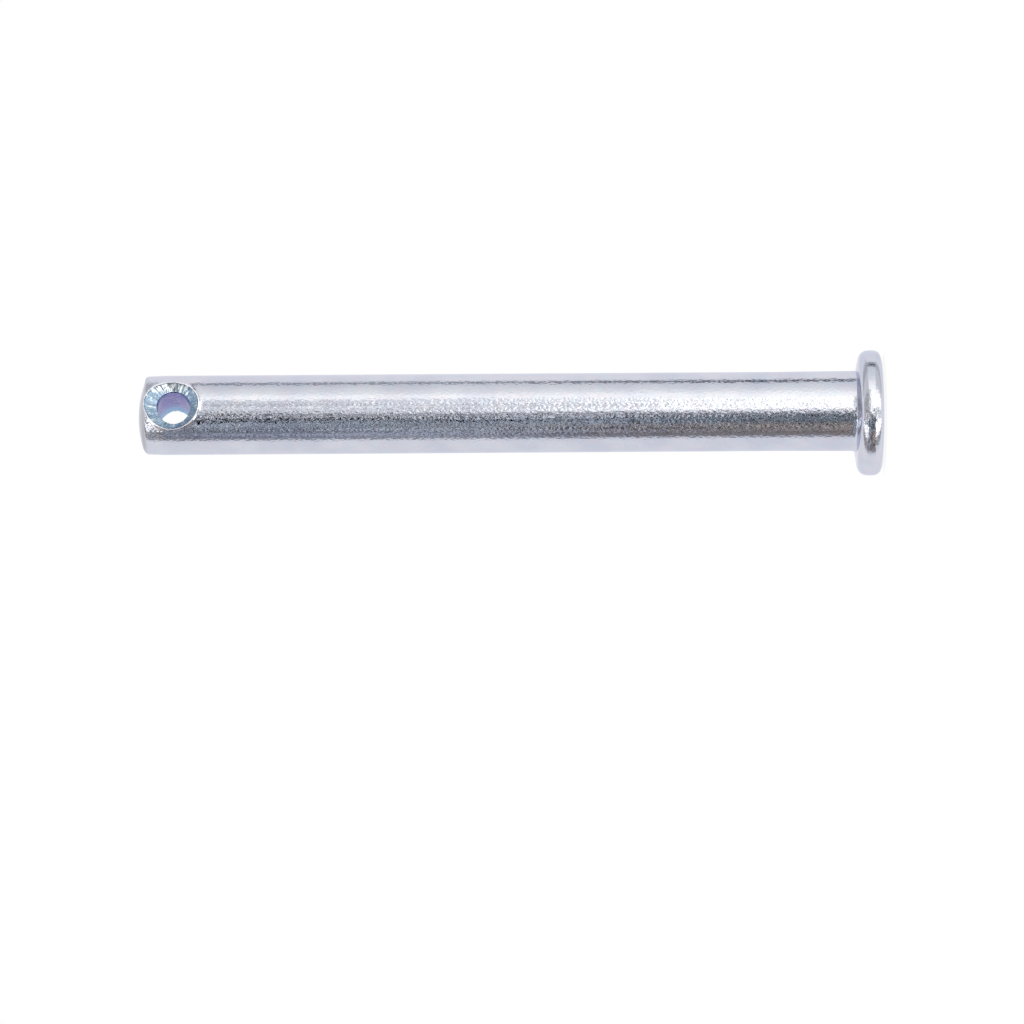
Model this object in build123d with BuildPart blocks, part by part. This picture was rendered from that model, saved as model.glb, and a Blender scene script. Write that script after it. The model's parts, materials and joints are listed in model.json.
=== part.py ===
"""Headed clevis pin, cold headed from round bar and cross drilled for a split pin.

The pin stands on its head: Z runs up the shank's axis, the outer face of the head is at
Z = 0 and the cross hole runs along Y.
"""

import os
from math import sqrt

from build123d import *

# Driving dimensions, in millimetres and degrees.

# Head
head_diameter = 12.5
head_thickness = 2.8
head_runout = 0.22  # how far the upset head sits off the shank's axis, towards -X
rim_bulge = 0.42  # how far the rim swells between its two edges
crown_rounding = 0.8  # edge of the outer face
seat_rounding = 0.4  # edge of the face that bears on the clevis

# Shank
shank_diameter = 7.9  # 5/16 inch class
shank_length = 71.4  # from the seat under the head to the crest of the end
neck_fillet = 0.5

# Driven end
point_length = 2.6  # the end tapers slightly over this length
point_reduction = 0.06  # and loses this much of its radius
end_dome_radius = 10.4
end_rounding = 0.45

# Cross hole
hole_diameter = 3.3
hole_setback = 3.6  # from the crest of the end to the hole's axis
hole_runout = 0.2  # how far the drill ran off the shank's axis, towards -X
hole_relief = 1.0  # bevel broken round both mouths of the hole

# Worked-out values
shank_radius = shank_diameter / 2
head_radius = head_diameter / 2
end_height = head_thickness + shank_length
hole_height = end_height - hole_setback
point_height = end_height - point_length
point_radius = shank_radius - point_reduction
dome_centre = end_height - end_dome_radius
corner_height = dome_centre + sqrt(end_dome_radius**2 - point_radius**2)
spare = shank_radius  # length left on the bar for the end to be cut from


with BuildPart() as clevis_pin:
    # Bar stock, a little longer than the pin.
    with BuildSketch(Plane.XY.offset(head_thickness / 2)):
        Circle(shank_radius)
    extrude(amount=end_height + spare - head_thickness / 2)

    # Cross hole, drilled right through the bar.
    hole_plane = Plane(
        origin=(-hole_runout, 0, hole_height),
        x_dir=(1, 0, 0),
        z_dir=(0, -1, 0),
    )
    with Locations(hole_plane):
        Hole(hole_diameter / 2)
    mouths = clevis_pin.edges(Select.LAST).filter_by(GeomType.BSPLINE)
    chamfer(mouths, length=hole_relief)

    # Driven end: a slight taper, a rounded corner and a low dome.
    with BuildSketch(Plane.XZ) as end_waste:
        with BuildLine():
            Polyline(
                (0, end_height),
                (0, end_height + 2 * spare),
                (2 * shank_radius, end_height + 2 * spare),
                (2 * shank_radius, point_height),
                (shank_radius, point_height),
                (point_radius, corner_height),
            )
            RadiusArc((point_radius, corner_height), (0, end_height), -end_dome_radius)
        make_face()
        corner = end_waste.vertices().sort_by_distance((point_radius, corner_height))[0]
        fillet(corner, radius=end_rounding)
    revolve(axis=Axis.Z, mode=Mode.SUBTRACT)

    # Head: an upset disc with a bulged rim, a little off the shank's axis.
    with BuildSketch(Plane.XZ) as head_half:
        with BuildLine():
            edge_x = head_radius - rim_bulge - head_runout
            Polyline(
                (edge_x, head_thickness),
                (-head_runout, head_thickness),
                (-head_runout, 0),
                (edge_x, 0),
            )
            ThreePointArc(
                (edge_x, 0),
                (head_radius - head_runout, head_thickness / 2),
                (edge_x, head_thickness),
            )
        make_face()
        crown_corner = head_half.vertices().sort_by_distance((edge_x, 0))[0]
        seat_corner = head_half.vertices().sort_by_distance((edge_x, head_thickness))[0]
        fillet(crown_corner, radius=crown_rounding)
        fillet(seat_corner, radius=seat_rounding)
    revolve(axis=Axis((-head_runout, 0, 0), (0, 0, 1)))

    # Neck: fillet where the shank meets the seat.
    neck = (
        clevis_pin.edges()
        .filter_by(GeomType.CIRCLE)
        .filter_by_position(Axis.Z, head_thickness - 0.01, head_thickness + 0.01)
        .sort_by(SortBy.RADIUS)[0]
    )
    fillet(neck, radius=neck_fillet)

clevis_pin.part.label = "clevis_pin"

os.makedirs("parts", exist_ok=True)
export_step(clevis_pin.part, "parts/clevis_pin.step")
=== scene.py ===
"""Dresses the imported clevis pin: its finished metal surface, the studio round it and the camera."""

import json
import math

import bmesh
import bpy
import numpy as np
from bpy.props import FloatProperty, FloatVectorProperty, IntProperty, PointerProperty
from bpy.types import Operator, Panel, PropertyGroup
from mathutils import Matrix, Vector


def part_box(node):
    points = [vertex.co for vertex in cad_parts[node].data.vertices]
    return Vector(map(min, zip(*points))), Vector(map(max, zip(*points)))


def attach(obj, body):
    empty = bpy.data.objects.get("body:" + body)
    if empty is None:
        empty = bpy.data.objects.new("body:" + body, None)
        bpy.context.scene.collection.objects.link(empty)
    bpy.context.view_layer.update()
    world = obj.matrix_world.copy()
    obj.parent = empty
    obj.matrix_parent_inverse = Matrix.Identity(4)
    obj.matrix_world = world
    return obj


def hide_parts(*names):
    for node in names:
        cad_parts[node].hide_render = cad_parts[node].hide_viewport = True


bl_info = {
    "name": "Clevis Pin",
    "version": (1, 0, 0),
    "blender": (4, 5, 0),
    "location": "View3D > Sidebar > Clevis Pin",
    "description": "Headed clevis pin with a relieved cross hole, and a light tent to show it in",
    "category": "Add Mesh",
}

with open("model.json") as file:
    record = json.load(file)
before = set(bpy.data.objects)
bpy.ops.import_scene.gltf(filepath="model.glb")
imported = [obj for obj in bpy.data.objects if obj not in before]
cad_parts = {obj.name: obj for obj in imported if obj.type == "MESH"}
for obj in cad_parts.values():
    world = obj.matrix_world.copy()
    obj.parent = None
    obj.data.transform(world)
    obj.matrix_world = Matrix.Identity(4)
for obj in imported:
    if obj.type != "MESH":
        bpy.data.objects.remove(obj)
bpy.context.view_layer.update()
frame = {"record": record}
PIN_LOW, PIN_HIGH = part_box("clevis_pin")
MOUNTS = {mount["name"]: mount for mount in frame["record"]["mounts"]}
SHANK_RADIUS = MOUNTS["shank"]["dims"]["r_mm"] / 1000
HOLE_RADIUS = MOUNTS["split_pin_hole"]["dims"]["r_mm"] / 1000
HOLE_SIDE, _, HOLE_HEIGHT = MOUNTS["split_pin_hole"]["pos_m"]
SEAT_HEIGHT = MOUNTS["seat"]["pos_m"][2]
HEAD_SIDE = (PIN_LOW[0] + PIN_HIGH[0]) / 2
HEAD_RADIUS = (PIN_HIGH[0] - PIN_LOW[0]) / 2

# The pin's mesh: columns round it, and rows from the crest of the end down and round the head.
COLUMNS = 192
DOME_ROWS = 16
EDGE_ROWS = 8
TAPER_ROWS = 12
END_ROWS = 28
SHANK_ROWS = 146
NECK_ROWS = 8
SEAT_ROWS = 6
RIM_ROWS = 34
FACE_ROWS = 14
CREST_GAP = 0.004  # radians from the dome's crest to its first row
FACE_GAP = 0.0002  # radius of the last row on the outer face
END_REACH = 0.0042  # how far below the hole's axis the close rows of the end go
SWELL_LENGTH = 0.008  # how far up the shank its swell by the neck goes
NECK_SIDE = 2.5  # above 0.5 narrows the -X side on which the neck's fillet is whole
SHIFT_SHARE = 0.9  # of the seat's width, over which the head moves off the shank's axis
SHIFT_ROWS = 12  # the head's rows up to which that goes by radius

# The patch round each mouth of the hole, where rings take over from the rows and columns.
MOUTH_COLUMNS = {1: COLUMNS // 4, -1: 3 * COLUMNS // 4}  # the middle of the +Y and the -Y mouth
PATCH_COLUMNS = 29  # on each side of that middle
PATCH_RADIUS = 0.0029  # the patch starts where the dome is this wide
PATCH_REACH = 0.0036  # how far below the hole's axis the patch goes
COLLAR_RINGS = 17  # between the patch's edge and the relief's rim
COLLAR_CROWDING = 1.9  # above 1 draws those rings together at the rim
# The lip's marks carry its painted highlight as well as its duller finish.
LIP_RINGS = 4  # of those, the ones on the raised lip
RELIEF_DEPTHS = (0.015, 0.04, 0.08, *np.linspace(0.14, 0.92, 13), 0.965, 1.0)
RELIEF_HOLLOW = 0.00004  # how far the relief's wall sinks between its rim and the bore
RIM_RELIEF = 0.2  # how far the relief's finish has come in at its rim
RELIEF_RISE = 9  # how fast it comes in below the rim, over the relief's depth as 1
LIP_END = 0.03  # how far the lip's finish goes down that depth
BORE_START = 0.97  # where the bore's finish begins on it
BORE_FIRST = 0.4  # and how strongly
BORE_STEPS = 44


# ---------------------------------------------------------------- settings


def length(name, default, description):
    """A small length of the pin, in metres."""
    return FloatProperty(
        name=name, description=description, default=default, unit="LENGTH", precision=5, min=0
    )


def number(name, default, description, least, most):
    """A plain number between two limits."""
    return FloatProperty(
        name=name, description=description, default=default, min=least, max=most
    )


def angle(name, degrees, description):
    """An angle, written in degrees."""
    return FloatProperty(
        name=name, description=description, default=math.radians(degrees), subtype="ANGLE"
    )


def colour(name, default, description):
    """A colour of the finish."""
    return FloatVectorProperty(
        name=name, description=description, default=default, subtype="COLOR", size=3, min=0, max=1
    )


class PinSizes(PropertyGroup):
    shank_radius: length("Shank Radius", SHANK_RADIUS, "Radius of the plain shank")
    height: length("Height", PIN_HIGH[2], "From the outer face of the head to the crest of the end")
    end_dome: length("End Dome", 0.0104, "Radius of the low dome on the end")
    end_rounding: length("End Rounding", 0.00045, "Rounding of the edge round the end")
    end_slope: number("End Slope", 0.036, "How steeply the end dome falls towards +X", 0, 0.2)
    point_length: length("Point Length", 0.0026, "Length over which the end tapers slightly")
    point_reduction: length("Point Reduction", 0.00006, "What the taper takes off the radius")
    neck_fillet: length("Neck Fillet", 0.0005, "Fillet between the shank and the seat")
    neck_fade: number("Neck Fade", 0.85, "How much smaller that fillet is on the +X side", 0, 1)
    neck_swell: length("Neck Swell", 0.00005, "How far heading swelled the shank by the neck")
    seat_height: length("Seat Height", SEAT_HEIGHT, "From the outer face of the head to its seat")
    head_radius: length("Head Radius", HEAD_RADIUS, "Largest radius of the head")
    rim_depth: length("Rim Depth", 0.00120, "Width of the rounded rim, measured inwards")
    rim_fullness: number("Rim Fullness", 2.8, "2 is a round rim, more is squarer", 1.5, 6)
    face_crown: length("Face Crown", 0.00028, "How far the outer face falls away to its rim")
    seat_drop: length("Seat Drop", 0.00022, "How far the seat falls from the neck to the rim")
    seat_tilt: angle("Seat Tilt", 1.1, "How far the seat under the head is out of square")


class ReliefSizes(PropertyGroup):
    hole_radius: length("Hole Radius", HOLE_RADIUS, "Radius of the cross hole")
    along: length("Rim Along", 0.00269, "Half the rim's length along the pin")
    across: length("Rim Across", 0.00238, "Half the rim's width across the pin")
    offset: length("Rim Offset", 0.00018, "How far the rim sits nearer the end than the hole")
    depth: length("Depth", 0.00100, "How far the relief goes down the hole")
    lip_height: length("Lip Height", 0.00007, "Burr raised round the rim")
    lip_width: length("Lip Width", 0.00021, "Width of that burr")
    chatter_marks: IntProperty(
        name="Chatter Marks",
        description="Facets the cutter left round the relief",
        default=17,
        min=1,
    )
    chatter_depth: length("Chatter Depth", 0.00006, "Depth of those facets")
    scoring_pitch: length("Scoring Pitch", 0.00042, "Distance between scores in the hole")
    scoring_depth: length("Scoring Depth", 0.000022, "Depth of those scores")
    wave_depth: length("Wave Depth", 0.000012, "Unevenness of the plated surface")
    wave_size: length("Wave Size", 0.0035, "Distance between waves in that surface")
    seed: IntProperty(name="Seed", description="Changes the chance marks", default=4)


class FinishSettings(PropertyGroup):
    plate: colour("Plate", (0.642, 0.662, 0.735), "Zinc plate with a clear blue passivate")
    fleck: colour("Fleck", (0.40, 0.42, 0.50), "Dull flecks between the grains")
    # Painted shade: a darker grey on the end's dome and rounded edge, standing in for the dark that
    # the edge reflects.
    crest: colour("Crest", (0.44, 0.44, 0.47), "Duller plate on the crest of the end")
    cut: colour("Cut Metal", (0.42, 0.56, 0.68), "Thicker blue passivate on the relief")
    stroke: colour("Stroke", (0.24, 0.36, 0.50), "Dark strokes of the cutter in the relief")
    # Bare bright spots, which the relief's colour gathers towards +X as painted highlights.
    bright_chip_highlight: colour("Bright Chip", (0.88, 0.92, 0.94), "Bare bright spots in the relief")
    # Painted shade: the colour of the pits in the relief, where shade falls.
    dark_pit_shade: colour("Dark Chip", (0.13, 0.17, 0.20), "Dark pits in the relief")
    # Painted highlight: near-white on the burr round the relief, standing in for the light its
    # rounded edge catches.
    lip: colour("Lip", (0.93, 0.94, 0.96), "Polished burr round the relief")
    bore: colour("Bore", (0.19, 0.18, 0.40), "Violet passivate inside the hole")
    blue_bore: colour("Blue Bore", (0.22, 0.42, 0.62), "Blue passivate by the hole's +Y mouth")
    bore_cloud: colour("Bore Cloud", (0.38, 0.30, 0.52), "Paler clouds inside the hole")
    grain: length("Grain", 0.00022, "Size of the plate's grain")
    grain_depth: length("Grain Depth", 0.000018, "Depth of that grain")
    roughness: number("Roughness", 0.07, "Between the grains", 0, 1)


class StageSettings(PropertyGroup):
    turn: angle("Turn", 20, "Angle of the camera from the cross hole's axis")
    roll: angle("Roll", 0.375, "How far the pin leans out of level in the view")
    distance: length("Distance", 0.61, "From the camera to the pin")
    view_width: length("View Width", 0.102, "Width of the view at the pin")
    below: length("Below", 0.00983, "How far below the pin the view is centred")
    tent_radius: length("Tent Radius", 0.45, "Radius of the light tent")


# ---------------------------------------------------------------- the pin's outline


def arc(centre, radius, start, stop, count):
    """Points on an arc in the pin's section; angles are from straight up, turning outwards."""
    turns = np.linspace(start, stop, count)
    return [(centre[0] + radius * math.sin(t), centre[1] + radius * math.cos(t)) for t in turns]


def neck_foot(sizes):
    """The radius at which the neck's fillet meets the seat."""
    return sizes.shank_radius + sizes.neck_swell + sizes.neck_fillet


def shank_outline(sizes, fineness=1):
    """Radius and height of the shank's skin, from the crest of the end down to the neck."""
    dome_centre = sizes.height - sizes.end_dome
    point = sizes.shank_radius - sizes.point_reduction
    inset = point - sizes.end_rounding
    rise = math.sqrt((sizes.end_dome - sizes.end_rounding) ** 2 - inset**2)
    lean = math.atan2(inset, rise)
    edge_height = dome_centre + rise
    line = arc((0, dome_centre), sizes.end_dome, CREST_GAP, lean, DOME_ROWS * fineness)
    line += arc(
        (inset, edge_height), sizes.end_rounding, lean, math.pi / 2, EDGE_ROWS * fineness
    )[1:]

    taper_foot = sizes.height - sizes.point_length
    for share in np.linspace(0, 1, TAPER_ROWS * fineness)[1:]:
        height = edge_height + (taper_foot - edge_height) * share
        line.append((point + sizes.point_reduction * share, height))

    neck_top = sizes.seat_height + sizes.neck_fillet
    end_foot = HOLE_HEIGHT - END_REACH
    for height in (
        *np.linspace(taper_foot, end_foot, END_ROWS * fineness)[1:],
        *np.linspace(end_foot, neck_top, SHANK_ROWS * fineness)[1:],
    ):
        near = min(1, max(0, 1 - (height - neck_top) / SWELL_LENGTH))
        swell = near * near * (3 - 2 * near)
        line.append((sizes.shank_radius + sizes.neck_swell * swell, height))

    neck = sizes.shank_radius + sizes.neck_swell
    for turn in np.linspace(0, math.pi / 2, NECK_ROWS * fineness)[1:]:
        radius = neck + sizes.neck_fillet * (1 - math.cos(turn))
        line.append((radius, neck_top - sizes.neck_fillet * math.sin(turn)))
    return line


def head_outline(sizes):
    """Radius and height of the head's skin, from the seat round the rim to the outer face."""
    flat = sizes.head_radius - sizes.rim_depth
    middle = sizes.seat_height / 2
    power = 2 / sizes.rim_fullness
    seat = np.linspace(neck_foot(sizes), flat, SEAT_ROWS)[1:]
    line = [(radius, sizes.seat_height) for radius in seat]
    for turn in np.linspace(math.pi / 2, -math.pi / 2, RIM_ROWS)[1:-1]:
        side, rise = math.cos(turn), math.sin(turn)
        reach = middle if rise > 0 else middle - sizes.face_crown
        height = middle + reach * math.copysign(abs(rise) ** power, rise)
        line.append((flat + sizes.rim_depth * side**power, height))
    for radius in np.linspace(flat, FACE_GAP, FACE_ROWS):
        line.append((radius, sizes.face_crown * (radius / flat) ** 2))
    return line


def turn_of(column):
    """The angle of a column of the mesh round the pin's axis."""
    return 2 * math.pi * column / COLUMNS


def shank_place(sizes, radius, height, turn):
    """A point of the shank's skin, with its sloping end and its uneven neck."""
    neck_top = sizes.seat_height + sizes.neck_fillet
    if height < neck_top:
        root = sizes.shank_radius + sizes.neck_swell
        faded = min(1, NECK_SIDE * (1 + math.cos(turn)))
        share = 1 - sizes.neck_fade * faded
        radius = root + (radius - root) * share
        height = sizes.seat_height + (height - sizes.seat_height) * share
    x = radius * math.cos(turn)
    if height > HOLE_HEIGHT:
        point = sizes.shank_radius - sizes.point_reduction
        on_dome = min(1, max(0, (point - radius) / sizes.end_rounding))
        # The second term keeps the sloping dome's highest point at the pin's height.
        height -= on_dome * sizes.end_slope * (x + sizes.end_slope * sizes.end_dome / 2)
    return Vector((x, radius * math.sin(turn), height))


def head_rings(sizes):
    """Rings of the head, off the shank's axis and with the seat out of square."""
    neck = neck_foot(sizes)
    tilt = math.tan(sizes.seat_tilt)
    rings = []
    for row, (radius, height) in enumerate(head_outline(sizes)):
        share = min(1, max(0, (radius - neck) / (SHIFT_SHARE * (sizes.head_radius - neck))))
        if row > SHIFT_ROWS:
            share = 1
        near_seat = min(1, height / sizes.seat_height) ** 2
        ring = []
        for column in range(COLUMNS):
            x = HEAD_SIDE * share + radius * math.cos(turn_of(column))
            y = radius * math.sin(turn_of(column))
            lift = -(tilt * x + sizes.seat_drop * share) * near_seat
            ring.append(Vector((x, y, height + lift)))
        rings.append(ring)
    return rings


def runs_along(line):
    """How far each point of an outline lies from its first, measured along it."""
    line = np.array(line)
    steps = np.hypot(np.diff(line[:, 0]), np.diff(line[:, 1]))
    return np.concatenate([[0], np.cumsum(steps)])


class Skin:
    """The shank's skin as a surface: turn round the axis, and run down from the crest."""

    FINENESS = 6
    STEP = 2e-5  # over which the slope is taken

    def __init__(self, sizes):
        self.sizes = sizes
        outline = shank_outline(sizes, self.FINENESS)
        self.radii, self.heights = np.array(outline).T
        self.runs = runs_along(outline)

    def run_at(self, height):
        return float(np.interp(-height, -self.heights, self.runs))

    def radius_at(self, run):
        return float(np.interp(run, self.runs, self.radii))

    def point(self, turn, run):
        height = float(np.interp(run, self.runs, self.heights))
        return shank_place(self.sizes, self.radius_at(run), height, turn)

    def normal(self, turn, run):
        rise = self.radius_at(run + self.STEP) - self.radius_at(run - self.STEP)
        slope = rise / (2 * self.STEP)
        out = math.sqrt(max(0.0, 1 - slope * slope))
        return Vector((out * math.cos(turn), out * math.sin(turn), slope)).normalized()


# ---------------------------------------------------------------- the pin's mesh


class Shell:
    """The pin's closed skin in the making, with the marks that the finish follows."""

    def __init__(self):
        self.points, self.faces = [], []
        self.marks = {"relief": [], "bore": [], "lip": [], "turned": []}

    def add(self, place, relief=0.0, bore=0.0, lip=0.0, turned=0.0):
        """Adds a point and gives its number; turned is its angle round the hole."""
        self.points.append(place)
        for values, value in zip(self.marks.values(), (relief, bore, lip, turned)):
            values.append(value)
        return len(self.points) - 1

    def join(self, before, here):
        """A band of faces between two rings of the same count, left open where a point is None."""
        for index in range(len(here)):
            after = (index + 1) % len(here)
            corners = [before[index], here[index], here[after], before[after]]
            if None not in corners:
                self.faces.append(corners)

    def close(self, ring, place):
        """A fan of faces from a ring to a point at its middle."""
        middle = self.add(place)
        for index in range(len(ring)):
            self.faces.append([middle, ring[index], ring[(index + 1) % len(ring)]])


def mouth_cells(side, first, last):
    """Rows and columns round the edge of a mouth's patch, from row first to row last.

    Both mouths are walked the same way round as seen in the plane of the hole.
    """
    reach = range(-PATCH_COLUMNS, PATCH_COLUMNS + 1)
    across = [MOUTH_COLUMNS[side] + side * step for step in reach]
    cells = [(first, column) for column in across]
    cells += [(row, across[-1]) for row in range(first + 1, last + 1)]
    cells += [(last, column) for column in across[-2::-1]]
    cells += [(row, across[0]) for row in range(last - 1, first, -1)]
    return cells


def mouth_lines(skin, cut, edge, side):
    """For each point of a patch's edge: its angle round the hole, its rim point and its bore point.

    edge holds (turn, run) of those points, and side is 1 for the +Y mouth and -1 for the -Y one.
    The rim comes as (turn, run) too, and the bore's edge as places.
    """
    middle = HOLE_HEIGHT + cut.offset
    middle_run = skin.run_at(middle)
    middle_turn = side * math.acos(HOLE_SIDE / SHANK_RADIUS)
    angles, rims, inners = [], [], []
    for turn, run in edge:
        across = -side * (turn - middle_turn) * SHANK_RADIUS
        round_hole = math.atan2(across, middle_run - run)
        x_way, z_way = math.sin(round_hole), math.cos(round_hole)
        reach = 1 / math.hypot(z_way / cut.along, x_way / cut.across)
        rim_run = skin.run_at(middle + reach * z_way)
        rim_turn = side * math.acos((HOLE_SIDE + reach * x_way) / skin.radius_at(rim_run))
        x_in = HOLE_SIDE + cut.hole_radius * x_way
        z_in = HOLE_HEIGHT + cut.hole_radius * z_way
        y_in = math.sqrt(skin.radius_at(skin.run_at(z_in)) ** 2 - x_in**2) - cut.depth
        angles.append(round_hole)
        rims.append((rim_turn, rim_run))
        inners.append(Vector((x_in, side * y_in, z_in)))
    return angles, rims, inners


def collar_rings(skin, cut, edge, rims):
    """Rings and their marks from a patch's edge in to the rim, where the skin rises to a lip."""
    rings = []
    for step in range(COLLAR_RINGS - 1, -1, -1):
        share = (step / COLLAR_RINGS) ** COLLAR_CROWDING
        ring = []
        for (turn, run), (rim_turn, rim_run) in zip(edge, rims):
            here = (rim_turn + (turn - rim_turn) * share, rim_run + (run - rim_run) * share)
            place = skin.point(*here)
            gap = (place - skin.point(rim_turn, rim_run)).length
            lip = cut.lip_height * math.exp(-((gap / cut.lip_width) ** 2))
            ring.append(place + skin.normal(*here) * lip)
        relief = 0.0 if step else RIM_RELIEF
        lip_highlight_mark = 1.0 if step < LIP_RINGS else 0.0
        rings.append((ring, (relief, 0.0, lip_highlight_mark)))
    return rings


def relief_rings(rim, inners, side):
    """Rings and their marks down the relief's wall, from the rim to the edge of the bore."""
    rings = []
    for depth in RELIEF_DEPTHS:
        ring = []
        for high, low in zip(rim, inners):
            sink = RELIEF_HOLLOW * math.sin(math.pi * depth)
            ring.append(high.lerp(low, depth) - Vector((0, side * sink, 0)))
        relief = min(1.0, RIM_RELIEF + depth * RELIEF_RISE)
        bore = 0.0 if depth < BORE_START else BORE_FIRST
        lip_highlight_mark = 1.0 if depth < LIP_END else 0.0
        rings.append((ring, (relief, bore, lip_highlight_mark)))
    return rings


def pin_shell(sizes, cut):
    """The whole closed skin of the pin, with its head, its end and both mouths of the hole."""
    shell, skin = Shell(), Skin(sizes)
    shank = shank_outline(sizes)
    runs = runs_along(shank)
    lowest = HOLE_HEIGHT - PATCH_REACH
    first = next(row for row, (radius, _) in enumerate(shank) if radius > PATCH_RADIUS)
    last = next(row for row, (_, height) in enumerate(shank) if height < lowest)

    def in_patch(row, column):
        beside = any(abs(column - middle) < PATCH_COLUMNS for middle in MOUTH_COLUMNS.values())
        return beside and first < row < last

    grid = []
    for row, (radius, height) in enumerate(shank):
        ring = []
        for column in range(COLUMNS):
            if in_patch(row, column):
                ring.append(None)
            else:
                ring.append(shell.add(shank_place(sizes, radius, height, turn_of(column))))
        grid.append(ring)
    for ring in head_rings(sizes):
        grid.append([shell.add(place) for place in ring])
    for upper, lower in zip(grid, grid[1:]):
        shell.join(upper, lower)
    shell.close(grid[0], Vector((0, 0, sizes.height)))
    shell.close(grid[-1], Vector((HEAD_SIDE, 0, 0)))

    bore_ends = []
    for side in MOUTH_COLUMNS:
        cells = mouth_cells(side, first, last)
        back = 0 if side > 0 else COLUMNS
        edge = [(turn_of(column - back), runs[row]) for row, column in cells]
        angles, rims, inners = mouth_lines(skin, cut, edge, side)
        rings = collar_rings(skin, cut, edge, rims)
        rings += relief_rings(rings[-1][0], inners, side)
        before = [grid[row][column] for row, column in cells]
        for ring, marks in rings:
            here = [shell.add(place, *marks, turned) for place, turned in zip(ring, angles)]
            shell.join(before, here)
            before = here
        bore_ends.append((before, inners, angles))

    (before, near_line, angles), (finish, far_line, _) = bore_ends
    for step in range(1, BORE_STEPS):
        here = []
        for near, far, turned in zip(near_line, far_line, angles):
            place = near.lerp(far, step / BORE_STEPS)
            here.append(shell.add(place, bore=1.0, turned=turned))
        shell.join(before, here)
        before = here
    shell.join(before, finish)
    return shell


def mesh_object(name, points, faces, material=None):
    """A new object in the scene, from its points and faces."""
    mesh = bpy.data.meshes.new(name)
    mesh.from_pydata([tuple(p) for p in points], [], faces)
    if material:
        mesh.materials.append(material)
    item = bpy.data.objects.new(name, mesh)
    bpy.context.collection.objects.link(item)
    return item


def face_outwards(mesh):
    """Turns the faces of a closed mesh outwards, and stops if it isn't closed."""
    body = bmesh.new()
    body.from_mesh(mesh)
    bmesh.ops.recalc_face_normals(body, faces=body.faces)
    if body.calc_volume(signed=True) < 0:
        bmesh.ops.reverse_faces(body, faces=body.faces)
    if any(not edge.is_manifold for edge in body.edges):
        raise RuntimeError("the pin's skin isn't closed")
    body.to_mesh(mesh)
    body.free()


# ---------------------------------------------------------------- nodes


class Nodes:
    """Adds nodes to a tree and links them."""

    def __init__(self, tree):
        self.tree = tree

    def add(self, kind, inputs=(), **settings):
        """A new node, with its settings made and its inputs filled with values or links."""
        node = self.tree.nodes.new(kind)
        for name, value in settings.items():
            setattr(node, name, value)
        for key, value in dict(inputs).items():
            socket = node.inputs[key]
            if isinstance(value, bpy.types.NodeSocket):
                self.tree.links.new(value, socket)
            else:
                socket.default_value = value
        return node

    def maths(self, operation, *values):
        return self.add("ShaderNodeMath", enumerate(values), operation=operation).outputs[0]

    def times(self, total, *others):
        for value in others:
            total = self.maths("MULTIPLY", total, value)
        return total

    def plus(self, total, *others):
        for value in others:
            total = self.maths("ADD", total, value)
        return total

    def split(self, vector):
        """The X, Y and Z of a vector."""
        return self.add("ShaderNodeSeparateXYZ", {"Vector": vector}).outputs

    def scaled(self, vector, scale):
        node = self.add("ShaderNodeVectorMath", {0: vector, "Scale": scale}, operation="SCALE")
        return node.outputs[0]

    def along(self, vector, way):
        """How far a vector goes in the direction way."""
        node = self.add("ShaderNodeVectorMath", {0: vector, 1: way[:]}, operation="DOT_PRODUCT")
        return node.outputs["Value"]

    def stretched(self, vector, x, y, z):
        return self.add("ShaderNodeMapping", {"Vector": vector, "Scale": (x, y, z)}).outputs[0]

    def noise(self, vector, scale, detail, roughness=0.5, seed=None):
        """Noise from 0 to 1, which changes with the seed where there is one."""
        inputs = {"Vector": vector, "Scale": scale, "Detail": detail, "Roughness": roughness}
        if seed is None:
            return self.add("ShaderNodeTexNoise", inputs).outputs["Fac"]
        inputs["W"] = seed
        return self.add("ShaderNodeTexNoise", inputs, noise_dimensions="4D").outputs["Fac"]

    def between(self, value, low, high, least=0.0, most=1.0, **settings):
        """Goes from least to most as the value goes from low to high."""
        inputs = {
            "Value": value,
            "From Min": low,
            "From Max": high,
            "To Min": least,
            "To Max": most,
        }
        return self.add("ShaderNodeMapRange", inputs, **settings).outputs[0]

    def mixed(self, share, first, second, blend="MIX"):
        """A colour between two colours. The sockets of a colour mix are found by their numbers."""
        inputs = {0: share, 6: first, 7: second}
        return self.add("ShaderNodeMix", inputs, data_type="RGBA", blend_type=blend).outputs[2]


def blank_material(name):
    """A material with an empty tree, and what fills it."""
    material = bpy.data.materials.new(name)
    material.use_nodes = True
    material.node_tree.nodes.clear()
    return material, Nodes(material.node_tree)


# ---------------------------------------------------------------- tool marks

WAVE_FADE = 0.0006  # how far above the outer face the waves are whole


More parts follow.
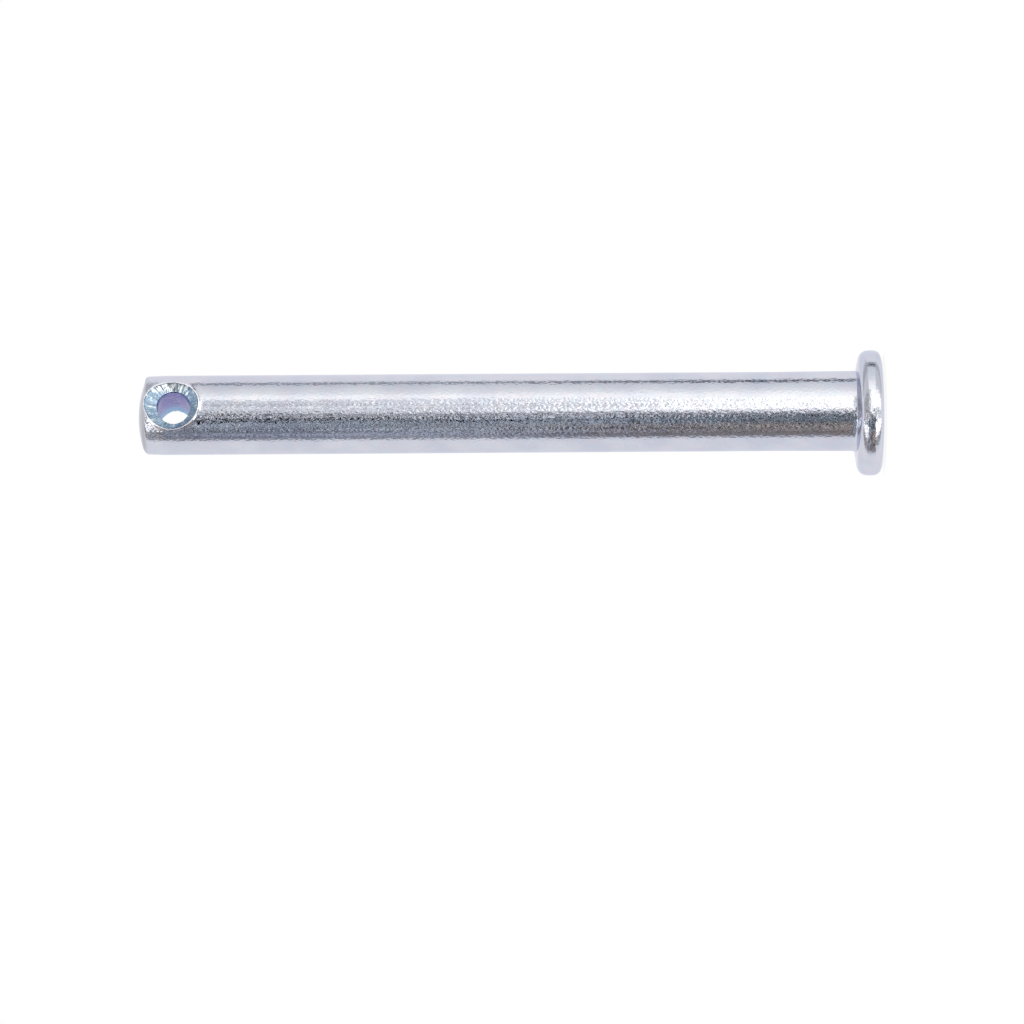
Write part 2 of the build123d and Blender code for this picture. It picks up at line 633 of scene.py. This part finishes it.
def tool_marks_tree():
    """Geometry Nodes: cuts chatter in the relief, scores the bore and waves the plated skin."""
    tree = bpy.data.node_groups.new("clevis_pin_tool_marks", "GeometryNodeTree")
    sockets = tree.interface
    sockets.new_socket("Geometry", in_out="INPUT", socket_type="NodeSocketGeometry")
    for name in ("Chatter Marks", "Seed"):
        sockets.new_socket(name, in_out="INPUT", socket_type="NodeSocketInt")
    for name in ("Chatter Depth", "Scoring Pitch", "Scoring Depth", "Wave Depth", "Wave Size"):
        socket = sockets.new_socket(name, in_out="INPUT", socket_type="NodeSocketFloat")
        socket.subtype = "DISTANCE"
    sockets.new_socket("Finish", in_out="INPUT", socket_type="NodeSocketMaterial")
    sockets.new_socket("Geometry", in_out="OUTPUT", socket_type="NodeSocketGeometry")

    nodes = Nodes(tree)
    given = nodes.add("NodeGroupInput").outputs

    def mark(name):
        node = nodes.add("GeometryNodeInputNamedAttribute", {"Name": name}, data_type="FLOAT")
        return node.outputs["Attribute"]

    def chance(vector, scale, detail, amount):
        """Noise on both sides of zero."""
        noise = nodes.noise(vector, scale, detail, seed=given["Seed"])
        return nodes.times(nodes.maths("SUBTRACT", noise, 0.5), amount)

    relief, bore, turned = mark("relief"), mark("bore"), mark("turned")
    where = nodes.add("GeometryNodeInputPosition").outputs[0]
    place = nodes.split(where)

    # Chance goes round the hole on a circle, which lies higher for one mouth than the other.
    circle = nodes.add(
        "ShaderNodeCombineXYZ",
        {
            "X": nodes.maths("COSINE", turned),
            "Y": nodes.maths("SINE", turned),
            "Z": nodes.times(nodes.maths("SIGN", place["Y"]), 3.0),
        },
    ).outputs[0]

    # Chatter: hollow facets with a crest between them, uneven in width and depth.
    swing = nodes.times(turned, nodes.maths("DIVIDE", given["Chatter Marks"], 2.0))
    swing = nodes.plus(swing, chance(circle, scale=1.6, detail=1.0, amount=3.2))
    facet = nodes.maths("ABSOLUTE", nodes.maths("SINE", swing))
    strong = nodes.plus(0.75, chance(circle, scale=2.6, detail=1.0, amount=2.4))
    ridges = chance(circle, scale=13.0, detail=2.0, amount=0.75)
    chatter = nodes.plus(nodes.times(facet, strong, -1.0), ridges)
    chatter = nodes.times(chatter, given["Chatter Depth"], relief)

    # Scoring: rings left by the drill, wandering a little.
    rings = nodes.maths("DIVIDE", nodes.times(place["Y"], 2 * math.pi), given["Scoring Pitch"])
    rings = nodes.plus(rings, chance(circle, scale=1.1, detail=1.0, amount=5.0))
    scoring = nodes.times(nodes.maths("SINE", rings), given["Scoring Depth"], bore)

    # Waves: the slight unevenness of a barrel-plated skin, which fades out at the outer face.
    per_wave = nodes.scaled(where, nodes.maths("DIVIDE", 1.0, given["Wave Size"]))
    waves = chance(per_wave, scale=1.0, detail=2.0, amount=given["Wave Depth"])
    plain = nodes.maths("SUBTRACT", 1.0, nodes.maths("MAXIMUM", relief, bore))
    above = nodes.maths("MINIMUM", nodes.maths("DIVIDE", place["Z"], WAVE_FADE), 1.0)
    waves = nodes.times(waves, plain, above)

    normal = nodes.add("GeometryNodeInputNormal").outputs[0]
    shift = nodes.scaled(normal, nodes.plus(chatter, scoring, waves))
    item = given["Geometry"]
    for kind, inputs in (
        ("GeometryNodeSetPosition", {"Offset": shift}),
        ("GeometryNodeRealizeInstances", {}),
        ("GeometryNodeSetMaterial", {"Material": given["Finish"]}),
    ):
        item = nodes.add(kind, {"Geometry": item, **inputs}).outputs[0]
    nodes.add("NodeGroupOutput", {0: item})
    return tree


def put_on(scene_object, tree, values):
    """Adds the tree as a modifier, with its inputs set by the sockets' identifiers."""
    modifier = scene_object.modifiers.new(tree.name, "NODES")
    modifier.node_group = tree
    for item in tree.interface.items_tree:
        if item.in_out == "INPUT" and item.name in values:
            modifier[item.identifier] = values[item.name]


# ---------------------------------------------------------------- finish

# Where the finish changes along Z, towards +X and towards +Y.
# Over these heights the painted shade on the end fades in.
CREST_SHADE_FADE = (PIN_HIGH[2] - 0.0010, PIN_HIGH[2] - 0.0006)
HEAD_FADE = (SEAT_HEIGHT + 0.0001, SEAT_HEIGHT + 0.0006)
# Over this span towards +X, the upper side in the view, the relief gets more bright chips and fewer
# dark pits: painted light and shade.
UPPER_RELIEF_PAINTED_LIGHT = (0.0008, 0.0019)
BLUE_MOUTH = (0.0004, 0.0024)

# The finish's chance patterns, in cells to the metre.
PLATE_CLOUDS = 260
PLATE_FILM = 800
RELIEF_CHIPS = 1700
BORE_CLOUDS = 1100
STROKES_DOWN = 420

STROKES_ROUND = 5.5  # the strokes' cells to the radian round the hole
GRAIN_SQUEEZE = 0.72  # below 1 draws the grains out along the pin
HEAD_GRAIN = 0.6  # how deep the grain is on the head, next to the shank's
CUT_ROUGHER = 0.17  # what cut metal adds to the roughness
CUT_DULLER = 0.38  # what it takes off the metallic share


def skin_colour(nodes, finish, where, place):
    """The plate: clouded and flecked, with a film that goes from blue to pink, and painted shade
    greying the end's dome and rounded edge.
    """
    red, green, blue = (0.91 * value for value in finish.plate)
    cloud = nodes.between(nodes.noise(where, PLATE_CLOUDS, 3), 0.4, 0.62)
    skin = nodes.mixed(cloud, (*finish.plate, 1), (red, green, 1.04 * blue, 1))
    film = nodes.between(nodes.noise(where, PLATE_FILM, 2), 0.4, 0.6)
    film = nodes.mixed(film, (0.98, 1.0, 1.01, 1), (1.02, 0.99, 0.99, 1))
    skin = nodes.mixed(1.0, skin, film, "MULTIPLY")
    fleck = nodes.between(nodes.noise(where, 1 / finish.grain, 2), 0.52, 0.70, 0, 0.16)
    skin = nodes.mixed(fleck, skin, (*finish.fleck, 1))
    # Painted shade on the end, where its rounded edge reflects the dark.
    return nodes.mixed(nodes.between(place["Z"], *CREST_SHADE_FADE), skin, (*finish.crest, 1))


def relief_colour(nodes, finish, where, place):
    """Cut metal: strokes out from the hole, bright chips gathered towards +X as painted highlights,
    and dark pits elsewhere as painted shade.
    """
    turned = nodes.maths("ARCTAN2", place["X"], nodes.maths("SUBTRACT", place["Z"], HOLE_HEIGHT))
    round_hole = nodes.add(
        "ShaderNodeCombineXYZ",
        {"X": nodes.times(turned, STROKES_ROUND), "Y": nodes.times(place["Y"], STROKES_DOWN)},
    ).outputs[0]
    stroke = nodes.between(nodes.noise(round_hole, 2.2, 3, 0.6), 0.42, 0.6)
    cut = nodes.mixed(stroke, (*finish.stroke, 1), (*finish.cut, 1))
    chip, ray = nodes.noise(where, RELIEF_CHIPS, 3), nodes.noise(round_hole, 1.6, 3, 0.6)
    chip = nodes.mixed(0.55, chip, ray)
    # Painted light and shade: bright chips gather towards +X, the upper side in the view, and dark
    # pits, painted as shade, lie away from it.
    upper = nodes.between(place["X"], *UPPER_RELIEF_PAINTED_LIGHT, 0, 0.13)
    bright = nodes.between(nodes.plus(chip, upper), 0.55, 0.62)
    cut = nodes.mixed(bright, cut, (*finish.bright_chip_highlight, 1))
    dark = nodes.between(nodes.maths("SUBTRACT", chip, upper), 0.42, 0.36, 0, 0.85)
    return nodes.mixed(dark, cut, (*finish.dark_pit_shade, 1))


def bore_colour(nodes, finish, where, place):
    """Violet in the hole, going to blue by its +Y mouth, with paler clouds."""
    blue = nodes.between(place["Y"], *BLUE_MOUTH)
    inner = nodes.mixed(blue, (*finish.bore, 1), (*finish.blue_bore, 1))
    cloud = nodes.between(nodes.noise(where, BORE_CLOUDS, 3), 0.5, 0.7, 0, 0.6)
    return nodes.mixed(cloud, inner, (*finish.bore_cloud, 1))


def grain_bump(nodes, finish, where, place):
    """Rounded bumps of the plate, drawn out a little along the pin and gentler on the head."""
    stretched = nodes.stretched(where, 1, 1, GRAIN_SQUEEZE)
    height = nodes.noise(stretched, 1 / finish.grain, 0.6, 0.4)
    full = finish.grain_depth
    depth = nodes.between(place["Z"], *HEAD_FADE, HEAD_GRAIN * full, full)
    inputs = {"Height": height, "Strength": 1.0, "Distance": depth}
    return nodes.add("ShaderNodeBump", inputs).outputs[0]


def bright_zinc(finish):
    """Bright zinc plate: fine grain on the skin, blue on cut metal and violet in the hole, with a
    painted highlight on the burr round the relief.
    """
    material, nodes = blank_material("bright_zinc_plate")
    where = nodes.add("ShaderNodeTexCoord").outputs["Object"]
    place = nodes.split(where)
    relief, bore, lip = (
        nodes.add("ShaderNodeAttribute", attribute_name=name).outputs["Fac"]
        for name in ("relief", "bore", "lip")
    )
    colour_here = skin_colour(nodes, finish, where, place)
    colour_here = nodes.mixed(relief, colour_here, relief_colour(nodes, finish, where, place))
    colour_here = nodes.mixed(bore, colour_here, bore_colour(nodes, finish, where, place))
    # Painted highlight along the burr round the relief.
    colour_here = nodes.mixed(lip, colour_here, (*finish.lip, 1))

    between_grains = nodes.noise(where, 0.8 / finish.grain, 2)
    smooth, rough = 0.6 * finish.roughness, 1.6 * finish.roughness
    duller = nodes.maths("MAXIMUM", relief, lip)
    roughness = nodes.between(between_grains, 0.3, 0.7, smooth, rough)
    metal = nodes.add(
        "ShaderNodeBsdfPrincipled",
        {
            "Base Color": colour_here,
            "Metallic": nodes.maths("SUBTRACT", 1.0, nodes.times(duller, CUT_DULLER)),
            "Roughness": nodes.plus(roughness, nodes.times(duller, CUT_ROUGHER)),
            "Specular Tint": (0.86, 0.87, 0.93, 1),
            "Normal": grain_bump(nodes, finish, where, place),
        },
    )
    nodes.add("ShaderNodeOutputMaterial", {"Surface": metal.outputs[0]})
    return material


# ---------------------------------------------------------------- studio

# The tent's light by the angle round it: 0 is on the camera's side, and more is lower in the
# view. Degrees, and the light's colour, where 1 is plain white cloth. The tent stands round the
# pin's axis, so these are dark flags and lit panels that lie along it.
TENT_BY_THE_END = (
    (-180, (1.00, 1.00, 1.00)),
    (-150, (1.06, 1.05, 1.04)),
    (-112, (1.05, 1.04, 1.03)),
    (-106, (0.78, 0.79, 0.81)),
    (-102, (0.38, 0.40, 0.43)),
    (-98, (0.38, 0.40, 0.43)),
    (-94, (0.84, 0.85, 0.87)),
    (-80, (0.96, 0.96, 0.94)),
    (-63, (1.12, 1.12, 1.08)),
    (-51, (1.45, 1.42, 1.34)),
    (-45, (1.44, 1.41, 1.33)),
    (-39, (0.90, 0.91, 0.90)),
    (-22, (0.86, 0.87, 0.86)),
    (-13, (0.80, 0.81, 0.80)),
    (-6, (0.49, 0.50, 0.50)),
    (2, (0.55, 0.55, 0.56)),
    (9, (0.53, 0.53, 0.54)),
    (16, (0.29, 0.31, 0.33)),
    (24, (0.155, 0.17, 0.19)),
    (38, (0.235, 0.257, 0.28)),
    (62, (0.285, 0.305, 0.355)),
    (73, (0.24, 0.25, 0.28)),
    (78, (0.55, 0.56, 0.60)),
    (83, (0.92, 0.92, 0.94)),
    (90, (0.98, 0.98, 0.98)),
    (130, (1.00, 1.00, 0.99)),
    (180, (1.00, 1.00, 1.00)),
)
TENT_BY_THE_HEAD = (
    (-180, (1.00, 1.00, 1.00)),
    (-150, (1.05, 1.05, 1.04)),
    (-110, (1.04, 1.04, 1.03)),
    (-105, (0.75, 0.76, 0.78)),
    (-101, (0.14, 0.14, 0.16)),
    (-97, (0.14, 0.14, 0.16)),
    (-93, (0.75, 0.76, 0.78)),
    (-88, (0.90, 0.93, 0.94)),
    (-76, (0.96, 0.98, 0.96)),
    (-63, (1.16, 1.16, 1.12)),
    (-50, (1.46, 1.45, 1.36)),
    (-36, (1.60, 1.58, 1.48)),
    (-20, (1.95, 1.90, 1.78)),
    (-8, (1.65, 1.62, 1.52)),
    (-2, (0.70, 0.69, 0.68)),
    (5, (0.31, 0.315, 0.325)),
    (12, (0.150, 0.168, 0.182)),
    (30, (0.120, 0.137, 0.150)),
    (39, (0.31, 0.272, 0.242)),
    (60, (0.25, 0.215, 0.195)),
    (73, (0.28, 0.25, 0.24)),
    (78, (0.52, 0.52, 0.55)),
    (83, (0.92, 0.92, 0.94)),
    (90, (0.97, 0.97, 0.99)),
    (130, (1.00, 1.00, 1.00)),
    (180, (1.00, 1.00, 1.01)),
)
TENT_ABOVE = (
    (-180, (1.00, 1.00, 1.00)),
    (-122, (1.00, 1.00, 1.00)),
    (-110, (0.58, 0.59, 0.60)),
    (-88, (0.58, 0.59, 0.60)),
    (-80, (0.82, 0.82, 0.82)),
    (-46, (0.80, 0.80, 0.79)),
    (-36, (0.48, 0.48, 0.48)),
    (24, (0.44, 0.44, 0.43)),
    (30, (1.12, 1.11, 1.08)),
    (46, (1.12, 1.11, 1.08)),
    (53, (0.46, 0.44, 0.42)),
    (66, (0.36, 0.34, 0.33)),
    (75, (0.50, 0.50, 0.51)),
    (83, (1.00, 1.00, 1.00)),
    (180, (1.00, 1.00, 1.00)),
)
TENT_BELOW = (
    (-180, (1.00, 1.00, 1.00)),
    (-112, (1.00, 1.00, 1.00)),
    (-104, (0.62, 0.63, 0.64)),
    (-94, (0.62, 0.63, 0.64)),
    (-86, (0.80, 0.80, 0.79)),
    (-50, (0.90, 0.90, 0.88)),
    (-38, (1.50, 1.50, 1.46)),
    (-14, (1.50, 1.50, 1.46)),
    (-6, (0.76, 0.76, 0.74)),
    (15, (0.72, 0.72, 0.70)),
    (22, (1.60, 1.60, 1.56)),
    (38, (1.60, 1.60, 1.56)),
    (45, (0.80, 0.80, 0.78)),
    (51, (0.34, 0.34, 0.33)),
    (62, (0.40, 0.40, 0.40)),
    (73, (0.85, 0.86, 0.90)),
    (82, (1.00, 1.00, 1.00)),
    (180, (1.00, 1.00, 1.00)),
)
TENT_ZONES = (
    # the heights between which a stretch of the tent takes over from the one below it
    (-0.105, -0.07, TENT_BY_THE_HEAD),
    (-0.01, 0.05, TENT_BY_THE_END),
    (0.114, 0.134, TENT_ABOVE),
)
TENT_COLUMNS = 96
TENT_HEIGHTS = (-1.4, -0.5, -0.15, 0.0, 0.15, 0.5, 1.4)

# How strongly the cloth is spotted: over each span of degrees that goes from the one share to
# the other, and all the shares are multiplied.
SPOT_SPANS = (
    (-46, -36, 0, 0.40),
    (-14, 0, 1, 2.3),
    (36, 60, 1, 0.6),
    (66, 74, 1, 0),
    (2, 14, 1, 1.6),
    (28, 38, 1, 0.65),
)
SPOTS = 28  # cells to the metre
SPOT_SQUEEZE = 2.5  # above 1 makes them shorter along the tent's axis
DARKEST_SPOT = -0.8
BRIGHTEST_SPOT = 2.1

FLOOR_REACH = 3.0
FLOOR_GLOW = 0.88  # the share of the floor that the camera sees as pure white
ROOM_LIGHT = 1.06
LAMP_AIM = Vector((0, 0, 0.03))
LAMPS = (
    # name, place, width, watts
    ("key_lamp", Vector((0.10, -0.25, 0.38)), 0.22, 0.55),
    ("fill_lamp", Vector((-0.30, -0.12, 0.30)), 0.26, 0.30),
)
SENSOR_WIDTH = 36
WHITE = (1, 1, 1, 1)


def view_axes(stage):
    """Unit vectors to the camera, and up in the level view, both across the pin."""
    back = Vector((-math.sin(stage.turn), -math.cos(stage.turn), 0))
    up = Vector((math.cos(stage.turn), -math.sin(stage.turn), 0))
    return back, up


def tent_ramp(nodes, share, stops):
    """A colour ramp over the angle round the tent, at half strength so that no stop clips."""
    ramp = nodes.add("ShaderNodeValToRGB", {"Fac": share})
    elements = ramp.color_ramp.elements
    elements.remove(elements[-1])
    for index, (degrees, light) in enumerate(stops):
        place = (degrees + 180) / 360
        element = elements.new(place) if index else elements[0]
        element.position = place
        element.color = (*[value / 2 for value in light], 1)
    return ramp.outputs[0]


def tent_cloth(stage):
    """What the metal sees of the tent: white cloth, a lit panel and dark flags."""
    material, nodes = blank_material("tent_cloth")
    back, up = view_axes(stage)
    where = nodes.add("ShaderNodeTexCoord").outputs["Object"]
    turned = nodes.maths("ARCTAN2", nodes.along(where, -up), nodes.along(where, back))
    share = nodes.plus(nodes.maths("DIVIDE", turned, 2 * math.pi), 0.5)
    height = nodes.split(where)["Z"]
    cloth = tent_ramp(nodes, share, TENT_BELOW)
    for low, high, stops in TENT_ZONES:
        above = nodes.between(height, low, high)
        cloth = nodes.mixed(above, cloth, tent_ramp(nodes, share, stops))

    # Folds and fittings on the camera's side, which the grain breaks into sparkle.
    degrees = nodes.times(turned, math.degrees(1))
    spotted = 1.0
    for span in SPOT_SPANS:
        here = nodes.between(degrees, *span, interpolation_type="SMOOTHSTEP")
        spotted = nodes.times(spotted, here)
    spots = nodes.noise(nodes.stretched(where, 1, 1, SPOT_SQUEEZE), SPOTS, 1.5, 0.6)
    spots = nodes.between(spots, 0.44, 0.62, DARKEST_SPOT, BRIGHTEST_SPOT)
    gain = nodes.plus(1.0, nodes.times(spotted, spots))

    # Twice as strong, because the ramps are at half strength.
    light = nodes.add("ShaderNodeEmission", {"Color": cloth, "Strength": nodes.times(gain, 2.0)})
    nodes.add("ShaderNodeOutputMaterial", {"Surface": light.outputs[0]})
    return material


def floor_paper():
    """Matt white paper, lit from behind enough to soften the shadow on it."""
    material, nodes = blank_material("floor_paper")
    seen = nodes.add("ShaderNodeLightPath").outputs["Is Camera Ray"]
    paper = nodes.add("ShaderNodeBsdfDiffuse", {"Color": WHITE})
    glow = nodes.add("ShaderNodeEmission", {"Color": WHITE, "Strength": 1.0})
    inputs = {0: nodes.times(seen, FLOOR_GLOW), 1: paper.outputs[0], 2: glow.outputs[0]}
    mix = nodes.add("ShaderNodeMixShader", inputs)
    nodes.add("ShaderNodeOutputMaterial", {"Surface": mix.outputs[0]})
    return material


def white_world():
    """A white world, plain white to the camera and to the metal, that also lights the room."""
    world = bpy.data.worlds.new("white_room")
    world.use_nodes = True
    world.node_tree.nodes.clear()
    nodes = Nodes(world.node_tree)
    path = nodes.add("ShaderNodeLightPath").outputs
    seen = nodes.maths("MAXIMUM", path["Is Camera Ray"], path["Is Glossy Ray"])
    seen = nodes.maths("MAXIMUM", seen, path["Is Transmission Ray"])
    room = nodes.add("ShaderNodeBackground", {"Color": WHITE, "Strength": ROOM_LIGHT})
    plain = nodes.add("ShaderNodeBackground", {"Color": WHITE, "Strength": 1.0})
    mix = nodes.add("ShaderNodeMixShader", {0: seen, 1: room.outputs[0], 2: plain.outputs[0]})
    nodes.add("ShaderNodeOutputWorld", {"Surface": mix.outputs[0]})
    bpy.context.scene.world = world


def paper_floor():
    """The floor, kept out of the metal's reflections, which show the tent in its place."""
    reach = FLOOR_REACH
    corners = [(-reach, -reach, 0), (reach, -reach, 0), (reach, reach, 0), (-reach, reach, 0)]
    floor = mesh_object("paper_floor", corners, [(0, 1, 2, 3)], floor_paper())
    floor.visible_glossy = False


def light_tent(stage):
    """An open tube of cloth round the pin, which only shows in its metal."""
    places = []
    for height in TENT_HEIGHTS:
        for column in range(TENT_COLUMNS):
            turn = 2 * math.pi * column / TENT_COLUMNS
            x, y = stage.tent_radius * math.cos(turn), stage.tent_radius * math.sin(turn)
            places.append((x, y, height))
    faces = []
    for low in range(0, len(places) - TENT_COLUMNS, TENT_COLUMNS):
        high = low + TENT_COLUMNS
        for column in range(TENT_COLUMNS):
            after = (column + 1) % TENT_COLUMNS
            faces.append((low + column, high + column, high + after, low + after))
    tent = mesh_object("light_tent", places, faces, tent_cloth(stage))
    for ray in ("camera", "diffuse", "transmission", "shadow", "volume_scatter"):
        setattr(tent, "visible_" + ray, False)


def soft_lamps():
    """Two soft lamps for the floor and the duller cut metal, which don't show as reflections."""
    for name, place, width, watts in LAMPS:
        data = bpy.data.lights.new(name, "AREA")
        data.shape = "DISK"
        data.size = width
        data.energy = watts
        lamp = bpy.data.objects.new(name, data)
        turn = (LAMP_AIM - place).to_track_quat("-Z", "Y").to_matrix().to_4x4()
        lamp.matrix_world = Matrix.Translation(place) @ turn
        lamp.visible_glossy = False
        bpy.context.collection.objects.link(lamp)


def level_camera(stage):
    """The camera, rolled by a quarter turn so that the pin lies across the view."""
    back, up = view_axes(stage)
    to_head = Vector((0, 0, -1))
    middle = Vector((0, 0, PIN_HIGH[2] / 2)) - up * stage.below
    lean_up = math.cos(stage.roll) * up + math.sin(stage.roll) * to_head
    right = math.cos(stage.roll) * to_head - math.sin(stage.roll) * up
    data = bpy.data.cameras.new("camera")
    data.sensor_width = SENSOR_WIDTH
    data.lens = SENSOR_WIDTH * stage.distance / stage.view_width
    data.clip_start = 0.01
    camera = bpy.data.objects.new("camera", data)
    turn = Matrix((right, lean_up, back)).transposed().to_4x4()
    camera.matrix_world = Matrix.Translation(middle + back * stage.distance) @ turn
    bpy.context.collection.objects.link(camera)
    bpy.context.scene.camera = camera


# ---------------------------------------------------------------- operators


class MESH_OT_clevis_pin_add(Operator):
    """Add the plated pin with its head, domed end and relieved cross hole"""

    bl_idname = "mesh.clevis_pin_add"
    bl_label = "Plated Pin"
    bl_options = {"REGISTER", "UNDO"}

    def execute(self, context):
        scene = context.scene
        cut = scene.clevis_pin_relief
        shell = pin_shell(scene.clevis_pin_sizes, cut)
        blank = mesh_object("pin_blank", shell.points, shell.faces)
        for name, values in shell.marks.items():
            layer = blank.data.attributes.new(name, "FLOAT", "POINT")
            layer.data.foreach_set("value", np.array(values, dtype=np.float32))
        face_outwards(blank.data)
        blank.data.polygons.foreach_set("use_smooth", [True] * len(blank.data.polygons))

        values = {
            "Chatter Marks": cut.chatter_marks,
            "Chatter Depth": cut.chatter_depth,
            "Scoring Pitch": cut.scoring_pitch,
            "Scoring Depth": cut.scoring_depth,
            "Wave Depth": cut.wave_depth,
            "Wave Size": cut.wave_size,
            "Seed": cut.seed,
            "Finish": bright_zinc(scene.clevis_pin_finish),
        }
        put_on(blank, tool_marks_tree(), values)
        graph = context.evaluated_depsgraph_get()
        mesh = bpy.data.meshes.new_from_object(
            blank.evaluated_get(graph), preserve_all_data_layers=True, depsgraph=graph
        )
        mesh.name = "plated_pin"
        pin = bpy.data.objects.new("plated_pin", mesh)
        context.collection.objects.link(pin)
        bpy.data.objects.remove(blank)
        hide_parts("clevis_pin")
        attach(pin, "root")
        return {"FINISHED"}


class OBJECT_OT_clevis_pin_stage(Operator):
    """Add the white room, the paper floor, the light tent, the lamps and the camera"""

    bl_idname = "object.clevis_pin_stage"
    bl_label = "Studio"
    bl_options = {"REGISTER", "UNDO"}

    def execute(self, context):
        stage = context.scene.clevis_pin_stage
        white_world()
        paper_floor()
        light_tent(stage)
        soft_lamps()
        level_camera(stage)
        context.scene.view_settings.view_transform = "Standard"
        return {"FINISHED"}


class VIEW3D_PT_clevis_pin(Panel):
    bl_label = "Clevis Pin"
    bl_idname = "VIEW3D_PT_clevis_pin"
    bl_space_type = "VIEW_3D"
    bl_region_type = "UI"
    bl_category = "Clevis Pin"

    def draw(self, context):
        layout, scene = self.layout, context.scene
        layout.use_property_split = True
        for title, group, operator in (
            ("Pin", scene.clevis_pin_sizes, None),
            ("Cross Hole", scene.clevis_pin_relief, None),
            ("Finish", scene.clevis_pin_finish, MESH_OT_clevis_pin_add),
            ("Studio", scene.clevis_pin_stage, OBJECT_OT_clevis_pin_stage),
        ):
            box = layout.box()
            box.label(text=title)
            for name in group.__annotations__:
                box.prop(group, name)
            if operator:
                box.operator(operator.bl_idname)


GROUPS = {
    "clevis_pin_sizes": PinSizes,
    "clevis_pin_relief": ReliefSizes,
    "clevis_pin_finish": FinishSettings,
    "clevis_pin_stage": StageSettings,
}
CLASSES = (
    *GROUPS.values(),
    MESH_OT_clevis_pin_add,
    OBJECT_OT_clevis_pin_stage,
    VIEW3D_PT_clevis_pin,
)


def register():
    for item in CLASSES:
        bpy.utils.register_class(item)
    for name, group in GROUPS.items():
        setattr(bpy.types.Scene, name, PointerProperty(type=group))


def unregister():
    for name in GROUPS:
        delattr(bpy.types.Scene, name)
    for item in reversed(CLASSES):
        bpy.utils.unregister_class(item)


def main():
    register()
    bpy.ops.mesh.clevis_pin_add()
    bpy.ops.object.clevis_pin_stage()


if __name__ == "__main__":
    main()
